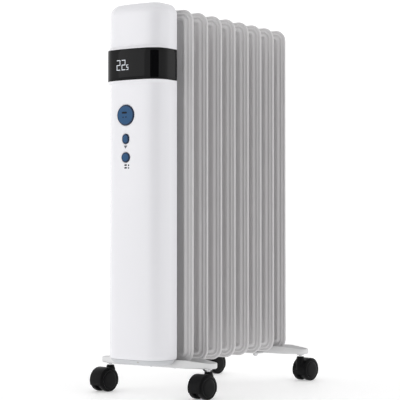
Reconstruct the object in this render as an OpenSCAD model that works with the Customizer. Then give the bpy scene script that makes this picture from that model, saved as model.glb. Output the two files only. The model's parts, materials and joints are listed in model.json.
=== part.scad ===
// Oil filled radiator heater: eight pressed steel fins welded into one stack, a control
// tower in front of them, and two foot brackets that run on twin-wheel castors.
// X runs across, Y from the tower to the rear fin, and Z up. The origin is on the floor,
// under the middle of the outer box. Every length is in millimetres.

/* [Fins] */
// Width of a fin
fin_w = 148; // [123:1:178]
// Height of a fin
fin_h = 569; // [474:1:683]
// Distance from one fin to the next
fin_pitch = 42; // [35:0.5:51]
// Height of the fins' lower edge above the floor
fin_base_z = 53.5; // [53:0.5:64]
// Radius of a fin's corners
fin_corner_r = 20.5; // [18:0.5:25]
// Thickness of each pressed sheet
sheet_t = 0.8; // [0.6:0.1:1.2]
// Half thickness of the folded hem round a fin
hem_half_t = 2; // [1.6:0.1:2.4]
// Width of the folded hem
hem_w = 3; // [2:0.5:4]
// Distance from a fin's edge to its stiffening bead
bead_inset = 5.6; // [5:0.1:6.5]
// Width of the stiffening bead
bead_w = 3.6; // [2.5:0.1:4]
// Half thickness at the stiffening bead
bead_half_t = 3; // [2.2:0.1:3.6]
// Distance from a fin's edge to its oil channel
channel_inset = 11.5; // [11:0.1:13]
// Width of the oil channel round a fin
channel_w = 7.5; // [6:0.1:9]
// Half thickness at the oil channel
channel_half_t = 5; // [3.5:0.1:6]

/* [Headers] */
// Distance from a fin's top or bottom edge to the header's axis
header_inset = 58; // [52:1:64]
// Radius of the hole through each fin's header seats
header_bore_r = 17; // [15:0.5:19]
// Radius of the collar where two fins are welded together
collar_r = 21; // [20:0.5:24]
// Length of the collar on each fin
collar_len = 3; // [2.8:0.1:4]
// Radius of a neck's flare at its foot
dome_r = 42; // [34:1:43]
// Height of the oil pocket beside a header's seat
pocket_h = 44; // [36:1:52]
// Reach of an end neck from its fin's middle plane
end_reach = 11; // [9:0.5:13]

/* [Tower] */
// Width of the tower
tower_w = 113; // [95:1:135]
// Depth of the tower behind its front panel
tower_depth = 50.1; // [47:0.1:60]
// Height of the tower
tower_h = 577.5; // [482:0.5:693]
// Height of the tower's underside above the floor
tower_base_z = 52.5; // [50:0.5:60]
// Gap between the tower's back and the first fin's middle plane
tower_gap = 21.3; // [18:0.1:26]
// Radius of the tower's front corners
tower_corner_r = 31; // [26:0.5:33]
// Bow of the tower's front panel
tower_bow = 7.7; // [5:0.1:9]
// Radius of the tower's top edge
top_edge_r = 20; // [12:0.5:24]
// Radius of the tower's bottom edge
bottom_edge_r = 16; // [12:0.5:18]
// Height of the base cap's joint above the tower's underside
base_joint_h = 9.9; // [9:0.1:12]
// Thickness of the tower's plastic walls
wall = 2.2; // [1.8:0.1:2.8]
// Thickness of the tower's back plate
back_t = 2.5; // [2:0.1:3]

/* [Display] */
// Height of the display window
window_h = 49.4; // [41:0.1:59]
// Distance from the tower's top to the window's upper edge
window_drop = 74.7; // [62:0.1:90]
// How far the window stands out from the front panel
window_proud = 3.8; // [3:0.1:4.5]
// Radius of the window's front corners
window_corner_r = 28; // [25:0.5:30]
// Thickness of the window
window_wall = 2.4; // [2:0.1:2.6]
// Height of the bezel above and below the window
bezel_h = 5.5; // [4:0.5:7]
// Height of the large digits
digit_h = 17.5; // [14:0.5:20]
// Width of the large digits
digit_w = 8.2; // [7:0.1:9.5]

/* [Buttons] */
// Sideways place of the buttons and digits, from the tower's middle
control_x = -8.2; // [-12:0.1:0]
// Radius of the main button
main_button_r = 16.2; // [12:0.1:18]
// Distance from the window's lower edge to the main button
main_button_drop = 55.4; // [50:0.1:62]
// Half width of the oval network button
net_button_r = 6.25; // [5:0.05:7]
// Height of the oval network button
net_button_h = 15.6; // [14:0.1:17]
// Distance from the window's lower edge to the network button
net_button_drop = 93.3; // [90:0.1:97]
// Radius of the mode button
mode_button_r = 7.8; // [6:0.1:9]
// Distance from the window's lower edge to the mode button
mode_button_drop = 122.6; // [119:0.1:130]
// Travel of the buttons
button_travel = 1.5; // [1:0.1:2]
// How far the buttons stand out of the front panel
button_proud = 1.2; // [1:0.1:2]
// Gap round each button
button_gap = 0.25; // [0.2:0.05:0.4]

/* [Feet] */
// Distance from the middle plane to a castor's stem
stem_x = 97.7; // [90:0.1:110]
// Distance of the front stems behind the first fin
front_stem_offset = 7.5; // [5:0.5:10]
// Distance of the rear stems behind the last fin
rear_stem_offset = 10.5; // [8:0.5:14]
// Thickness of the foot brackets' steel
foot_t = 2; // [1.6:0.1:2.6]
// Height of the pads on which a fin rests
foot_pad_h = 4; // [3:0.5:5]
// Height of a foot's lips in its middle
foot_lip_h = 13.5; // [12:0.5:16]
// Height of a foot's lips at its tips
foot_tip_h = 9; // [7:0.5:11]
// Radius of a foot's round tips
foot_tip_r = 14; // [12:0.5:16]
// Half length of the part of a foot that has its full width
foot_shoulder_x = 70; // [60:1:76]
// Radius of the U-bolts' rod
u_bolt_r = 2.5; // [2:0.1:2.8]

/* [Castors] */
// Radius of a castor wheel
wheel_r = 19; // [17:0.5:20]
// Width of a castor wheel
wheel_w = 10.5; // [9:0.5:12]
// Distance from the swivel axis to the axle
castor_trail = 14.5; // [13:0.5:16]
// Outer radius of the hood
hood_r = 21; // [20.6:0.1:22]
// Half width of the hood
hood_half_w = 13.5; // [12.5:0.5:14.5]
// Thickness of the hood's web between the wheels
web_t = 10; // [9:0.5:11]
// Height of the hood's lower edge above the floor
hood_edge_z = 11; // [9:0.5:13]
// Height of the top of the hood's neck above the floor
neck_z = 42.8; // [42.2:0.1:43.2]
// Radius of the castor stems
stem_r = 3; // [2.5:0.1:3.2]
// Radius of the axles
axle_r = 2; // [1.5:0.1:2.5]
// Angle at which the castors stand
castor_angle = 9; // [0:1:20]

/* [Heating element] */
// Radius of the element's sheath
sheath_r = 4; // [3.5:0.1:4.3]
// Half the distance between an element's legs
leg_x = 7; // [6:0.1:7.5]
// Distance of each element above or below the header's axis
leg_z = 6.6; // [6:0.1:7]
// Gap between the element's bend and the rear cap
element_end_gap = 24; // [20:1:40]

/* [Cable inlet] */
// Radius of the cable gland's bore
gland_bore_r = 3.8; // [3.2:0.1:4.5]
// Length of the cable gland
gland_len = 9.2; // [7.5:0.1:9.4]

/* [Hidden] */

$fn = 64;
// Small overlap that keeps cuts clean
eps = 0.1;
// Sides of a circle that is nearly flat
fine_fn = 360;
fin_count = 8;
// Width of a weld's seam
weld_gap = 0.01;
// Thickness of a neck's wall
neck_t = 1.5;
// Radius of the raised seat under a neck
seat_r = dome_r + 1.5;

// Colours
fin_grey = [0.66, 0.66, 0.67];
foot_white = [0.86, 0.86, 0.86];
tower_white = [0.93, 0.93, 0.95];
base_grey = [0.82, 0.82, 0.84];
button_blue = [0.2, 0.36, 0.52];
board_green = [0.1, 0.35, 0.2];
plastic_black = [0.12, 0.12, 0.13];
steel_bright = [0.78, 0.78, 0.8];

// Places along Y. The box reaches from the window's front to the rear castors' hoods.
window_front = tower_depth + window_proud;
castor_reach = (castor_trail + hood_r) * cos(castor_angle) + hood_half_w * sin(castor_angle);
front_len = tower_gap + window_front;
stack_len = (fin_count - 1) * fin_pitch;
rear_len = rear_stem_offset + castor_reach;
first_fin_y = front_len - (front_len + stack_len + rear_len) / 2;
last_fin_y = first_fin_y + stack_len;
tower_y = first_fin_y - tower_gap;
front_stem_y = first_fin_y + front_stem_offset;
rear_stem_y = last_fin_y + rear_stem_offset;

// Heights
header_low_z = fin_base_z + header_inset;
header_high_z = fin_base_z + fin_h - header_inset;
tower_top_z = tower_base_z + tower_h;
base_joint_z = tower_base_z + base_joint_h;
base_joint_gap = 0.3;
fit_gap = 0.2;
base_setback = 0.4;
base_lip_h = 4;
base_lip_t = 1.5;
base_inner = wall + fit_gap / 2 + base_lip_t;
base_floor_z = tower_base_z + base_inner;
window_top_z = tower_top_z - window_drop;
window_low_z = window_top_z - window_h;
window_mid_z = window_low_z + window_h / 2;
main_button_z = window_low_z - main_button_drop;
net_button_z = window_low_z - net_button_drop;
mode_button_z = window_low_z - mode_button_drop;
foot_top_z = fin_base_z - foot_pad_h;
foot_low_z = foot_top_z - foot_t;

// Castor details
well_gap = 0.6;
wheel_gap = 0.5;
running_gap = 0.05;
neck_r = 6.5;
axle_half_len = web_t / 2 + wheel_gap + wheel_w - 2.4;
stem_low_z = 22;
stem_shoulder_r = 6;
stem_shoulder_h = 2.2;
stem_nut_h = 4;
stem_top_z = foot_top_z + stem_nut_h + 0.8;

// Tower details
half_w = tower_w / 2;
bow_r = (half_w * half_w + tower_bow * tower_bow) / (2 * tower_bow);
// How far the bowed front falls back at a distance from its middle
function bow_drop(x) = bow_r - sqrt(bow_r * bow_r - x * x);
// The corner rounds start outside the main button's flange
tower_corner = min(tower_corner_r, half_w - abs(control_x) - main_button_r - 1);
window_corner = min(window_corner_r, tower_corner - 3);
// How far the bowed front lies below the round corners, so that the two arcs cross
bow_relief = 0.05;
subwall_inset = window_wall + fit_gap;
subwall_t = 1.6;
bezel_setback = 0.4;
bezel_inner = subwall_inset + subwall_t;
post_r = 4;
post_hole_r = 1.5;
post_x = half_w - wall - 9;
post_front = tower_depth - 13;
post_heights = [tower_base_z + 32, mode_button_z - 44, tower_top_z - 30];
screw_head_r = 3.4;
screw_head_h = 2;
screw_hole_r = 1.9;
element_port_r = 20;

// Boards inside the tower, as depths in front of the tower's back
control_board_y = tower_depth - 14.1;
board_t = 1.6;
display_post_r = 2;
power_board_y = 11;
power_board_w = 64;
power_board_low_z = tower_base_z + 97.5;
power_board_h = 170;
block_rise = 4.5;
switch_h = 3.5;
plunger_h = 1;
board_post_r = 3.2;
control_board_w = 54;
control_board_low_z = mode_button_z - 20;
control_board_h = main_button_z + 22 - control_board_low_z;
led_w = 34;
led_h = 26;
led_gap = 0.69;
led_front = window_front - window_wall - bow_drop(abs(control_x) + led_w / 2) - led_gap;
display_board_y = led_front - 8.3;
// How far the display's board reaches past the digits on each side
display_margin = (half_w - 8.5) / 6;
digit_gap = 3;
digit_bar = 1.5;
port_x = 13.3;
port_z = base_joint_z - 3.2;
port_r = 1.3;

// Heating element details
flange_hex_r = 22;
flange_t = 6;
gasket_t = 1.5;
spigot_r = collar_r - neck_t - 0.1;
spigot_len = 2.5;
flange_front_y = first_fin_y - end_reach - gasket_t - flange_t;
leg_out = 2;
pin_r = 1.5;
pin_len = 11;
bead_len = 3;
bead_hole_gap = 0.1;

// Mounting brackets between the first fin and the tower
bracket_w = 60;
bracket_h = 30;
bracket_t = 1.5;
bracket_foot = 10;
bracket_heights = [header_low_z + 84, header_high_z - 84];
bracket_screw_x = 18;

// U-bolts and nuts
u_bend_r = collar_r + u_bolt_r + 0.1;
u_nut_h = 4;
u_nut_r = 5;
u_end_z = foot_low_z - u_nut_h - 1;

// Cable gland
gland_x = 28.5 - half_w;
gland_y = tower_y - 22;
gland_r = 7;
gland_flange_r = 9;
gland_flange_t = 2;
gland_recess = 0.2;

// ---------------------------------------------------------------- shared shapes

// A flat outline with round corners, centred on the origin
module round_rect(w, h, r) {
    square([w - 2 * r, h], center = true);
    square([w, h - 2 * r], center = true);
    for (sx = [-1, 1], sy = [-1, 1])
        translate([sx * (w / 2 - r), sy * (h / 2 - r)])
            circle(r);
}

// Stands an XY outline up in the XZ plane, with half its thickness on each side of y = 0
module upright(half_t) {
    rotate([90, 0, 0])
        linear_extrude(height = 2 * half_t, center = true)
            children();
}

// A cylinder along Y from y0 to y1
module y_rod(r, y0, y1) {
    translate([0, y0, 0])
        rotate([-90, 0, 0])
            cylinder(r = r, h = y1 - y0);
}

// A cone along Y from y0 to y1
module y_cone(r0, r1, y0, y1) {
    translate([0, y0, 0])
        rotate([-90, 0, 0])
            cylinder(r1 = r0, r2 = r1, h = y1 - y0);
}

// ---------------------------------------------------------------- fins

// Outline of a fin, drawn in from its edge
module fin_outline(inset) {
    round_rect(fin_w - 2 * inset, fin_h - 2 * inset, max(fin_corner_r - inset, 4));
}

// A band that follows the fin's edge
module fin_band(inset, width, half_t) {
    upright(half_t)
        difference() {
            fin_outline(inset);
            fin_outline(inset + width);
        }
}

// The raised seat round a header, and the pocket that joins it to the oil channel
module header_seat(skin) {
    pocket_w = fin_w - 2 * channel_inset - channel_w;
    upright(channel_half_t - skin) {
        circle(seat_r - skin);
        round_rect(pocket_w - 2 * skin, pocket_h - 2 * skin, 12 - skin);
    }
}

// One fin: two pressed sheets, with a folded hem, a bead, an oil channel and header seats
module fin(index) {
    header_offset = fin_h / 2 - header_inset;
    color(fin_grey)
        translate([0, first_fin_y + (index - 1) * fin_pitch, fin_base_z + fin_h / 2])
            difference() {
                union() {
                    upright(sheet_t)
                        fin_outline(0);
                    fin_band(0, hem_w, hem_half_t);
                    fin_band(bead_inset, bead_w, bead_half_t);
                    fin_band(channel_inset, channel_w, channel_half_t);
                    for (side = [-1, 1])
                        translate([0, 0, side * header_offset])
                            header_seat(0);
                }
                fin_band(channel_inset + sheet_t, channel_w - 2 * sheet_t,
                         channel_half_t - sheet_t);
                for (side = [-1, 1])
                    translate([0, 0, side * header_offset]) {
                        header_seat(sheet_t);
                        y_rod(header_bore_r, -channel_half_t - 1, channel_half_t + 1);
                    }
            }
}

// Half of a flared neck, from a fin's seat at y = 0 to its collar's end at y = reach
module half_neck(reach, skin) {
    cone_len = reach - collar_len;
    past = skin > 0 ? 1 : 0;
    y_cone(dome_r - skin, collar_r - skin, 0, cone_len);
    y_rod(collar_r - skin, cone_len - eps, reach + past);
    if (skin > 0)
        y_rod(dome_r - skin, -1, eps / 2);
}

// A hollow neck, welded on a fin's seat. facing is 1 towards +Y and -1 towards -Y.
module neck(seat_y, reach, facing) {
    translate([0, seat_y, 0])
        rotate([0, 0, facing > 0 ? 0 : 180])
            difference() {
                half_neck(reach, 0);
                half_neck(reach, neck_t);
            }
}

// All the necks of one header: a welded pair in each gap, and a short one at each end
module header_necks(header_z) {
    half_gap = fin_pitch / 2 - channel_half_t - weld_gap;
    color(fin_grey)
        translate([0, 0, header_z]) {
            for (i = [0:fin_count - 2]) {
                gap_y = first_fin_y + i * fin_pitch;
                neck(gap_y + channel_half_t + weld_gap, half_gap, 1);
                neck(gap_y + fin_pitch - channel_half_t - weld_gap, half_gap, -1);
            }
            neck(first_fin_y - channel_half_t, end_reach - channel_half_t, -1);
            neck(last_fin_y + channel_half_t, end_reach - channel_half_t, 1);
        }
}

// A cap that closes an end header. It faces along +Y, from y = 0 at the collar's end.
module header_cap() {
    y_rod(collar_r - 1.2, 0, 1.2);
    y_rod(collar_r - neck_t - 0.05, -2.5, eps);
}

filler_r = 5;

// The three closed ends of the headers
module header_caps() {
    color(fin_grey) {
        translate([0, first_fin_y - end_reach, header_high_z])
            rotate([0, 0, 180])
                header_cap();
        translate([0, last_fin_y + end_reach, header_low_z])
            header_cap();
        translate([0, last_fin_y + end_reach, header_high_z])
            difference() {
                header_cap();
                y_rod(filler_r + running_gap, -4, 2);
            }
    }
}

// The plug that closes the oil filler in the rear cap
module oil_filler_plug() {
    color(steel_bright)
        translate([0, last_fin_y + end_reach, header_high_z]) {
            y_rod(filler_r, -4, 1.2 + eps);
            translate([0, 1.2, 0])
                rotate([-90, 0, 0])
                    cylinder(r = 7.5, h = 3, $fn = 6);
        }
}

// ---------------------------------------------------------------- heating element

// A hairpin in the lower header, above (side = 1) or below (side = -1) the header's axis
module heating_element(side) {
    bend_y = last_fin_y + end_reach - element_end_gap;
    color(steel_bright)
        translate([0, 0, header_low_z + side * leg_z]) {
            for (sx = [-1, 1])
                translate([sx * leg_x, 0, 0]) {
                    y_rod(sheath_r, flange_front_y - leg_out, bend_y);
                    y_rod(pin_r, flange_front_y - leg_out - pin_len, flange_front_y);
                }
            translate([0, bend_y, 0])
                rotate_extrude(angle = 180)
                    translate([leg_x, 0])
                        circle(sheath_r);
        }
}

module heating_elements() {
    for (side = [-1, 1])
        heating_element(side);
}

// The hexagonal plug that holds both elements in the lower header
module element_flange() {
    color([0.72, 0.6, 0.36])
        translate([0, flange_front_y, header_low_z])
            difference() {
                union() {
                    rotate([-90, 0, 0])
                        cylinder(r = flange_hex_r, h = flange_t, $fn = 6);
                    y_rod(spigot_r, flange_t - eps, flange_t + gasket_t + spigot_len);
                }
                for (sx = [-1, 1], sz = [-1, 1])
                    translate([sx * leg_x, 0, sz * leg_z])
                        y_rod(sheath_r + 0.02, -1, flange_t + gasket_t + spigot_len + 1);
            }
}

module element_gasket() {
    color([0.55, 0.2, 0.15])
        translate([0, first_fin_y - end_reach - gasket_t, header_low_z])
            difference() {
                y_rod(collar_r - 0.1, 0, gasket_t);
                y_rod(spigot_r + 0.05, -1, gasket_t + 1);
            }
}

// Ceramic beads round the four terminal pins
module terminal_beads() {
    color([0.92, 0.9, 0.84])
        for (sx = [-1, 1], sz = [-1, 1])
            translate([sx * leg_x, flange_front_y - leg_out, header_low_z + sz * leg_z])
                difference() {
                    y_rod(sheath_r - 0.6, -bead_len, 0);
                    y_rod(pin_r + bead_hole_gap, -bead_len - 1, 1);
                }
}

// Four insulated leads from the terminal pins up to the terminal block
module element_leads() {
    pin_end_y = flange_front_y - leg_out - pin_len;
    sleeve_y0 = pin_end_y - 1;
    sleeve_y1 = flange_front_y - leg_out - bead_len - 0.5;
    sleeve_r = 2.4;
    lead_r = 1.3;
    color([0.75, 0.72, 0.66])
        for (sx = [-1, 1], sz = [-1, 1]) {
            pin_z = header_low_z + sz * leg_z;
            rise_y = sleeve_y0 - (sz > 0 ? 4 : 8);
            translate([sx * leg_x, 0, pin_z]) {
                difference() {
                    y_rod(sleeve_r, sleeve_y0, sleeve_y1);
                    y_rod(pin_r + running_gap, pin_end_y, sleeve_y1 + 1);
                }
                y_rod(lead_r, rise_y, sleeve_y0 + eps);
            }
            translate([sx * leg_x, rise_y, pin_z - 2])
                cylinder(r = lead_r + 0.3, h = power_board_low_z + block_rise - pin_z + 2);
        }
}

// ---------------------------------------------------------------- thermal cutout

cutout_z = header_low_z + 140;
cutout_r = 8;
cutout_h = 7;

// A disc thermostat on the first fin
module thermal_cutout() {
    color(plastic_black)
        translate([0, first_fin_y - sheet_t, cutout_z]) {
            y_rod(cutout_r, -cutout_h, 0);
            for (sx = [-1, 1])
                translate([sx * 4 - 0.4, -cutout_h - 6, -3])
                    cube([0.8, 6 + eps, 6]);
        }
}

// The spring clip that presses the thermostat on the fin
module cutout_clip() {
    clip_w = 10;
    clip_t = 0.8;
    reach = cutout_r + 0.4;
    color(steel_bright)
        translate([0, first_fin_y - sheet_t, cutout_z])
            difference() {
                union() {
                    for (sx = [-1, 1]) {
                        translate([sx * (reach + clip_t / 2) - clip_t / 2, -cutout_h - clip_t, -clip_w / 2])
                            cube([clip_t, cutout_h + clip_t, clip_w]);
                        translate([sx * (reach + 4) - 4, -clip_t, -clip_w / 2])
                            cube([8, clip_t, clip_w]);
                    }
                    translate([-reach - eps, -cutout_h - clip_t, -clip_w / 2])
                        cube([2 * (reach + eps), clip_t - 0.02, clip_w]);
                }
                y_rod(6, -cutout_h - 2, -cutout_h + 1);
            }
}

// ---------------------------------------------------------------- feet

// Where the line from a point touches a circle, on the side that turn gives
function touch(point, centre, r, turn) =
    let (d = point - centre)
    let (angle = atan2(d[1], d[0]) + turn * acos(r / norm(d)))
    centre + r * [cos(angle), sin(angle)];

// Plan of a foot from its front edge to its back edge, with a round tip at each stem
module foot_plan(front, back, stem_y, inset) {
    r = foot_tip_r - inset;
    for (sx = [-1, 1]) {
        tip = [sx * stem_x, stem_y];
        near = [sx * foot_shoulder_x, front + inset];
        far = [sx * foot_shoulder_x, back - inset];
        translate(tip)
            circle(r);
        polygon([[0, near[1]], near, touch(near, tip, r, sx), tip,
                 touch(far, tip, r, -sx), far, [0, far[1]]]);
    }
}

// A pressed foot whose floor carries one fin, with lips that get lower towards its tips
module foot(fin_y, front, back, stem_y, bolt_y) {
    tongue_half_w = u_bend_r + 9;
    tip_x = stem_x + foot_tip_r;
    color(foot_white)
        difference() {
            union() {
                translate([0, 0, foot_low_z]) {
                    linear_extrude(height = foot_t)
                        foot_plan(front, back, stem_y, 0);
                    intersection() {
                        linear_extrude(height = foot_lip_h)
                            difference() {
                                foot_plan(front, back, stem_y, 0);
                                foot_plan(front, back, stem_y, foot_t);
                            }
                        rotate([90, 0, 0])
                            linear_extrude(height = 1000, center = true)
                                polygon([[-tip_x - 1, 0], [tip_x + 1, 0], [tip_x + 1, foot_tip_h],
                                         [foot_shoulder_x, foot_lip_h],
                                         [-foot_shoulder_x, foot_lip_h],
                                         [-tip_x - 1, foot_tip_h]]);
                    }
                }
                for (sx = [-1, 1])
                    translate([sx * 38 - 12, fin_y - 7, foot_top_z - eps])
                        cube([24, 14, foot_pad_h + eps]);
                if (bolt_y < front + 8)
                    translate([-tongue_half_w, bolt_y - 8, foot_low_z])
                        cube([2 * tongue_half_w, front + 8 - bolt_y + eps, foot_t]);
            }
            for (sx = [-1, 1]) {
                translate([sx * stem_x, stem_y, foot_low_z - 1])
                    cylinder(r = stem_r + 0.15, h = foot_t + 2);
                translate([sx * u_bend_r, bolt_y, foot_low_z - 1])
                    cylinder(r = u_bolt_r + 0.3, h = foot_t + 2);
            }
        }
}

front_bolt_y = first_fin_y + fin_pitch / 2;
rear_bolt_y = last_fin_y - fin_pitch / 2;

module front_foot() {
    foot(first_fin_y, first_fin_y - 19, front_bolt_y + 8, front_stem_y, front_bolt_y);
}

module rear_foot() {
    foot(last_fin_y, last_fin_y - 13, last_fin_y + 30, rear_stem_y, rear_bolt_y);
}

// A U-bolt over the welded collars between two fins
module u_bolt(bolt_y) {
    color(steel_bright)
        translate([0, bolt_y, 0]) {
            translate([0, 0, header_low_z])
                rotate([90, 0, 0])
                    rotate_extrude(angle = 180)
                        translate([u_bend_r, 0])
                            circle(u_bolt_r);
            for (sx = [-1, 1])
                translate([sx * u_bend_r, 0, u_end_z])
                    cylinder(r = u_bolt_r, h = header_low_z - u_end_z);
        }
}

module u_bolts() {
    for (bolt_y = [front_bolt_y, rear_bolt_y])
        u_bolt(bolt_y);
}

module u_bolt_nuts() {
    color(steel_bright)
        for (sx = [-1, 1], bolt_y = [front_bolt_y, rear_bolt_y])
            translate([sx * u_bend_r, bolt_y, foot_low_z - u_nut_h])
                difference() {
                    cylinder(r = u_nut_r, h = u_nut_h, $fn = 6);
                    translate([0, 0, -1])
                        cylinder(r = u_bolt_r + 0.05, h = u_nut_h + 2);
                }
}

// ---------------------------------------------------------------- castors

// Puts children at a castor: x across the wheels, and the axle ahead of the stem along -y
module at_castor(side, end) {
    translate([side * stem_x, end < 0 ? front_stem_y : rear_stem_y, 0])
        rotate([0, 0, (end < 0 ? 0 : 180) - castor_angle])
            children();
}

// A disc or cylinder along the axle from x0 to x1
module along_axle(r, x0, x1) {
    translate([x0, -castor_trail, wheel_r])
        rotate([0, 90, 0])
            cylinder(r = r, h = x1 - x0);
}

module castor_stem() {
    translate([0, 0, stem_low_z])
        cylinder(r = stem_r, h = stem_top_z - stem_low_z);
    translate([0, 0, foot_low_z - stem_shoulder_h])
        cylinder(r = stem_shoulder_r, h = stem_shoulder_h);
}

module castor_stems() {
    color(steel_bright)
        for (side = [-1, 1], end = [-1, 1])
            at_castor(side, end)
                castor_stem();
}

module stem_nuts() {
    color(steel_bright)
        for (side = [-1, 1], end = [-1, 1])
            at_castor(side, end)
                translate([0, 0, foot_top_z])
                    difference() {
                        cylinder(r = 6, h = stem_nut_h, $fn = 6);
                        translate([0, 0, -1])
                            cylinder(r = stem_r + 0.05, h = stem_nut_h + 2);
                    }
}

// The hood over both wheels, with a web between them that holds the stem and the axle
module hood(side, end) {
    color(plastic_black)
        at_castor(side, end)
            difference() {
                union() {
                    intersection() {
                        along_axle(hood_r, -hood_half_w, hood_half_w);
                        translate([-50, -100, hood_edge_z])
                            cube([100, 200, 100]);
                    }
                    along_axle(wheel_r - 4, -web_t / 2, web_t / 2);
                    translate([0, 0, wheel_r + 8])
                        cylinder(r = neck_r, h = neck_z - wheel_r - 8);
                }
                along_axle(wheel_r + well_gap, -hood_half_w - 1, -web_t / 2);
                along_axle(wheel_r + well_gap, web_t / 2, hood_half_w + 1);
                along_axle(axle_r + 0.02, -web_t, web_t);
                translate([0, 0, stem_low_z - 1])
                    cylinder(r = stem_r + running_gap, h = 100);
            }
}

module castor_axle(side, end) {
    color(steel_bright)
        at_castor(side, end)
            along_axle(axle_r, -axle_half_len, axle_half_len);
}

// A wheel with a rounded outer rim and a raised cap. out is 1 on the heater's outer side.
module wheel(side, end, out) {
    rim_r = 3;
    hub_r = 12;
    inner = web_t / 2 + wheel_gap;
    face = inner + wheel_w - 1;
    color(plastic_black)
        at_castor(side, end)
            mirror([out * side * end > 0 ? 1 : 0, 0, 0])
                difference() {
                    union() {
                        along_axle(wheel_r, inner, face - rim_r);
                        along_axle(wheel_r - rim_r, inner, face);
                        translate([face - rim_r, -castor_trail, wheel_r])
                            rotate([0, 90, 0])
                                rotate_extrude()
                                    translate([wheel_r - rim_r, 0])
                                        circle(rim_r);
                        along_axle(hub_r, inner, face + 1);
                    }
                    along_axle(axle_r + running_gap, inner - 5, axle_half_len + 0.4);
                }
}

// ---------------------------------------------------------------- tower shapes

// Places children at the tower, where y = 0 is the plane of its back
module at_tower() {
    translate([0, tower_y, 0])
        children();
}

// Plan of the tower or its window: straight sides, round corners and a bowed front
module tower_plan(front, corner, inset) {
    corner_x = half_w - corner;
    bow_y = -front + bow_r;
    corner_y = bow_y - sqrt(pow(bow_r - corner, 2) - corner_x * corner_x);
    reach = 1.1 * bow_r / norm([corner_x, bow_y - corner_y]);
    edge_y = bow_y - reach * (bow_y - corner_y);
    edge_x = reach * corner_x;
    translate([-half_w + inset, corner_y])
        square([2 * (half_w - inset), -corner_y]);
    for (sx = [-1, 1])
        translate([sx * corner_x, corner_y])
            intersection() {
                circle(corner - inset);
                translate([-corner, -corner])
                    square([2 * corner, corner + eps]);
            }
    intersection() {
        translate([0, bow_y])
            circle(bow_r - bow_relief - inset, $fn = fine_fn);
        polygon([[-corner_x, corner_y], [corner_x, corner_y], [edge_x, edge_y], [-edge_x, edge_y]]);
    }
}

// Front view of the tower: round corners at its top and its bottom
module front_view(inset) {
    top_r = top_edge_r - inset;
    low_r = bottom_edge_r - inset;
    half = half_w - inset;
    top_z = tower_top_z - inset;
    low_z = tower_base_z + inset;
    translate([-half, low_z + low_r])
        square([2 * half, top_z - top_r - low_z - low_r]);
    translate([-half + top_r, top_z - top_r - eps])
        square([2 * (half - top_r), top_r + eps]);
    translate([-half + low_r, low_z])
        square([2 * (half - low_r), low_r + eps]);
    for (sx = [-1, 1]) {
        translate([sx * (half - top_r), top_z - top_r])
            circle(top_r);
        translate([sx * (half - low_r), low_z + low_r])
            circle(low_r);
    }
}

// Side view of the tower: round at its front, and square at its back
module side_view(inset) {
    top_r = top_edge_r - inset;
    low_r = bottom_edge_r - inset;
    front = -tower_depth + inset;
    top_z = tower_top_z - inset;
    low_z = tower_base_z + inset;
    translate([front, low_z + low_r])
        square([-front + 1, top_z - top_r - low_z - low_r]);
    translate([front + top_r, top_z - top_r - eps])
        square([-front - top_r + 1, top_r + eps]);
    translate([front + low_r, low_z])
        square([-front - low_r + 1, low_r + eps]);
    translate([front + top_r, top_z - top_r])
        circle(top_r);
    translate([front + low_r, low_z + low_r])
        circle(low_r);
}

// The tower as a solid, drawn in from its surface. cut_back opens its back.
module tower_solid(inset, cut_back) {
    intersection() {
        translate([0, 0, tower_base_z - 1])
            linear_extrude(height = tower_h + 2)
                union() {
                    tower_plan(tower_depth, tower_corner, inset);
                    translate([-half_w + inset, -1])
                        square([2 * (half_w - inset), cut_back + 1]);
                }
        rotate([90, 0, 0])
            linear_extrude(height = 4 * tower_depth, center = true)
                front_view(inset);
        rotate([90, 0, 90])
            linear_extrude(height = 2 * tower_w, center = true)
                union() {
                    side_view(inset);
                    if (cut_back > 0)
                        translate([-1, tower_base_z + inset])
                            square([2 + cut_back, tower_h - 2 * inset]);
                }
    }
}

// A slice of the tower's space between two heights
module slab(z0, z1) {
    translate([-tower_w, -2 * tower_depth, z0])
        cube([2 * tower_w, 3 * tower_depth, z1 - z0]);
}

// A wall between two heights, from an inset of the window's plan in to an inset of the
// tower's own plan
module bezel_wall(outer, z0, z1) {
    translate([0, 0, z0])
        linear_extrude(height = z1 - z0)
            difference() {
                tower_plan(window_front, window_corner, outer);
                tower_plan(tower_depth, tower_corner, bezel_inner);
                translate([-half_w + bezel_inner, -2])
                    square([2 * (half_w - bezel_inner), 4]);
            }
}

// Outline of the network button, which is an upright oval
module oval(r, h) {
    square([2 * r, h - 2 * r], center = true);
    for (side = [-1, 1])
        translate([0, side * (h / 2 - r)])
            circle(r);
}

// An opening or body along Y, from an upright outline
module y_prism(y0, y1) {
    translate([0, y1, 0])
        rotate([90, 0, 0])
            linear_extrude(height = y1 - y0)
                children();
}

module screw_posts(r, y0, y1) {
    for (sx = [-1, 1], z = post_heights)
        translate([sx * post_x, 0, z])
            y_rod(r, y0, y1);
}

// ---------------------------------------------------------------- tower housing

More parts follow.
